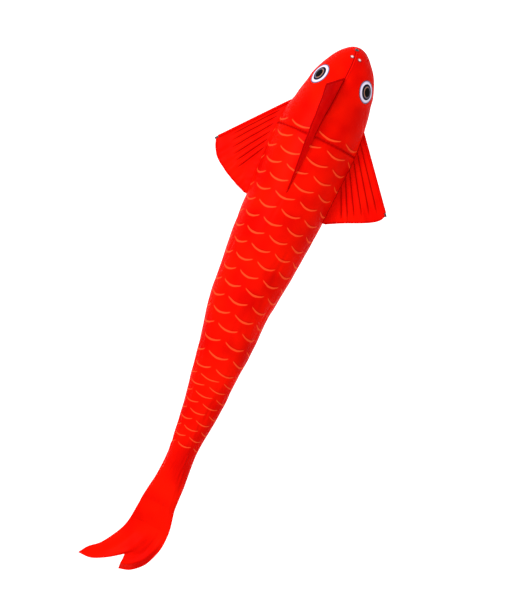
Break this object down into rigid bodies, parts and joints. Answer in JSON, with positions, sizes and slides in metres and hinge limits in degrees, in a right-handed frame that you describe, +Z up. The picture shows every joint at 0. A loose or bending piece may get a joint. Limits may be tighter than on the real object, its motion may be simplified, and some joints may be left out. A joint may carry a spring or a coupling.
{
  "type": "carp streamer",
  "caption": "Wind-filled red cloth carp: a tapering tube with rod-stiffened side fins, a folding back fin and a forked tail, flown from an eyelet on its nose.",
  "frame": {"origin": "middle of the tow eyelet on the nose, where the streamer is held", "axes": "+X from the nose to the tail along the front of the tube, +Y to the fish's right, +Z up"},
  "size_m": [1.5047, 0.5014, 0.2891],
  "materials": {
    "tube_cloth": "printed red ripstop polyester, semi-gloss",
    "fin_cloth": "plain red ripstop polyester",
    "dorsal_cloth": "plain deep red ripstop polyester",
    "binding": "deep red woven binding tape",
    "hoop_rod": "pale fibreglass rod",
    "fin_rod": "pale fibreglass rod",
    "ferrule": "drawn tube",
    "eyelet": "black enamel",
    "cap": "black vinyl",
    "eye_print": "printed cloth patch, lilac ring round a black pupil",
    "nostril_print": "printed cloth patch, pale pink"
  },
  "bodies": {
    "head_section": {"head_panel_left": "tube_cloth", "head_panel_right": "tube_cloth", "chin_panel": "tube_cloth", "seam_strip": "binding", "front_tube": "tube_cloth", "mouth_casing": "binding", "mouth_hoop": "hoop_rod", "mouth_ferrule": "ferrule", "tow_eyelet": "eyelet", "eye_left": "eye_print", "eye_right": "eye_print", "nostril_left": "nostril_print", "nostril_right": "nostril_print", "gill_casing": "binding", "gill_hoop": "hoop_rod", "gill_ferrule": "ferrule"},
    "left_fin": {"fin_left": "fin_cloth", "fin_rod_left": "fin_rod", "fin_tip_cap_left": "cap", "fin_root_cap_left": "cap"},
    "right_fin": {"fin_right": "fin_cloth", "fin_rod_right": "fin_rod", "fin_tip_cap_right": "cap", "fin_root_cap_right": "cap"},
    "back_fin": {"dorsal_fin": "dorsal_cloth"},
    "mid_section": {"mid_tube": "tube_cloth"},
    "rear_section": {"rear_tube": "tube_cloth"},
    "tail_root": {"tail_sleeve": "tube_cloth"},
    "tail_end": {"tail_fin": "fin_cloth"}
  },
  "joints": [
    {"name": "body_sway", "type": "hinge", "parent": "head_section", "child": "mid_section", "pos_m": [0.4785, 0, -0.03123], "axis": [0, 0, 1], "range_deg": [-12, 12]},
    {"name": "rear_sway", "type": "hinge", "parent": "mid_section", "child": "rear_section", "pos_m": [0.7085, 0, -0.03123], "axis": [0, 0, 1], "range_deg": [-21, 14]},
    {"name": "tail_sway", "type": "hinge", "parent": "rear_section", "child": "tail_root", "pos_m": [1.15252, 0.02949, -0.03123], "axis": [0, 0, 1], "range_deg": [-34, 40]},
    {"name": "tail_flap", "type": "hinge", "parent": "tail_root", "child": "tail_end", "pos_m": [1.35402, 0.02949, -0.03123], "axis": [0, 1, 0], "range_deg": [-40, 40]},
    {"name": "left_fin_flap", "type": "hinge", "parent": "head_section", "child": "left_fin", "pos_m": [0.3285, -0.114, -0.03123], "axis": [-1, 0, 0], "range_deg": [-60, 50]},
    {"name": "right_fin_flap", "type": "hinge", "parent": "head_section", "child": "right_fin", "pos_m": [0.3285, 0.114, -0.03123], "axis": [1, 0, 0], "range_deg": [-60, 50]},
    {"name": "back_fin_fold", "type": "hinge", "parent": "head_section", "child": "back_fin", "pos_m": [0.2385, 0, 0.08327], "axis": [1, 0, 0], "range_deg": [-92, 62]}
  ]
}
